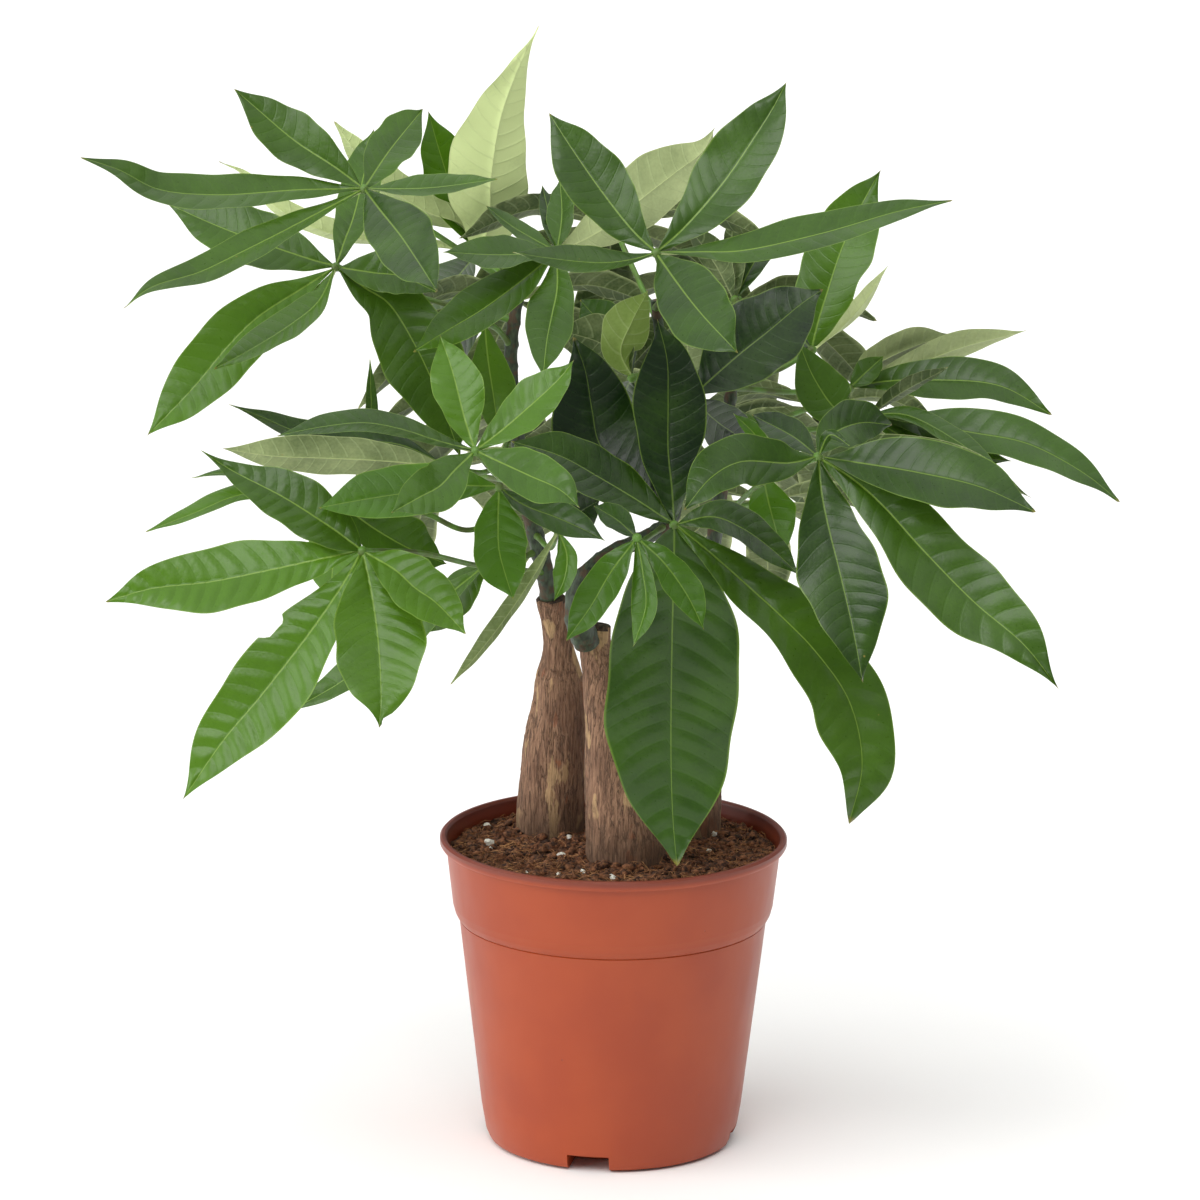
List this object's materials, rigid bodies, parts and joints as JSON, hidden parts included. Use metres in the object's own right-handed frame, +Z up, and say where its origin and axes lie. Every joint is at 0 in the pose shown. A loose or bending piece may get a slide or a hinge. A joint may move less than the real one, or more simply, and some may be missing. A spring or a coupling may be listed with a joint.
{
  "type": "potted money tree",
  "caption": "Bushy money tree with swollen trunks and hand-shaped leaves, rooted in soil in a round tapered plastic nursery pot with a banded rim and notched foot.",
  "frame": {"origin": "middle of the pot's flat underside, on the surface that it stands on", "axes": "+Z up along the pot's axis, -Y towards the side that the picture shows, +X to the right in it"},
  "size_m": [0.4958, 0.437, 0.5473],
  "materials": {
    "terracotta_plastic": "satin moulded polypropylene, terracotta coloured",
    "potting_soil": "loose peat and coir with white perlite grains",
    "bark": "dull, finely fissured grey-brown bark",
    "green_shoot": "smooth grey-green young bark",
    "leaf": "waxy satin leaf, dark green above and pale green beneath",
    "young_leaf": "waxy satin new leaf, bright green"
  },
  "bodies": {
    "root": {"pot": "terracotta_plastic", "soil": "potting_soil", "trunk_left": "bark", "trunk_middle": "bark", "trunk_right": "bark", "shoot_left": "green_shoot", "shoot_middle": "green_shoot", "shoot_right": "green_shoot", "frond_a": "leaf", "frond_b": "leaf", "frond_c": "leaf", "frond_d": "leaf", "frond_e": "leaf", "frond_f": "leaf", "frond_g": "leaf", "frond_h": "leaf", "frond_j": "leaf", "frond_k": "leaf", "frond_l": "leaf", "frond_m": "leaf", "frond_n": "young_leaf", "frond_p": "young_leaf", "frond_q": "leaf", "frond_s": "leaf", "frond_t": "leaf", "frond_u": "leaf", "frond_v": "leaf", "frond_w": "leaf", "frond_x": "young_leaf", "frond_y": "leaf", "frond_z": "leaf", "frond_back_1": "leaf", "frond_back_2": "leaf", "frond_back_3": "leaf", "frond_back_4": "leaf", "frond_back_5": "leaf", "frond_back_6": "leaf", "frond_back_7": "leaf", "frond_back_8": "leaf"}
  },
  "joints": []
}
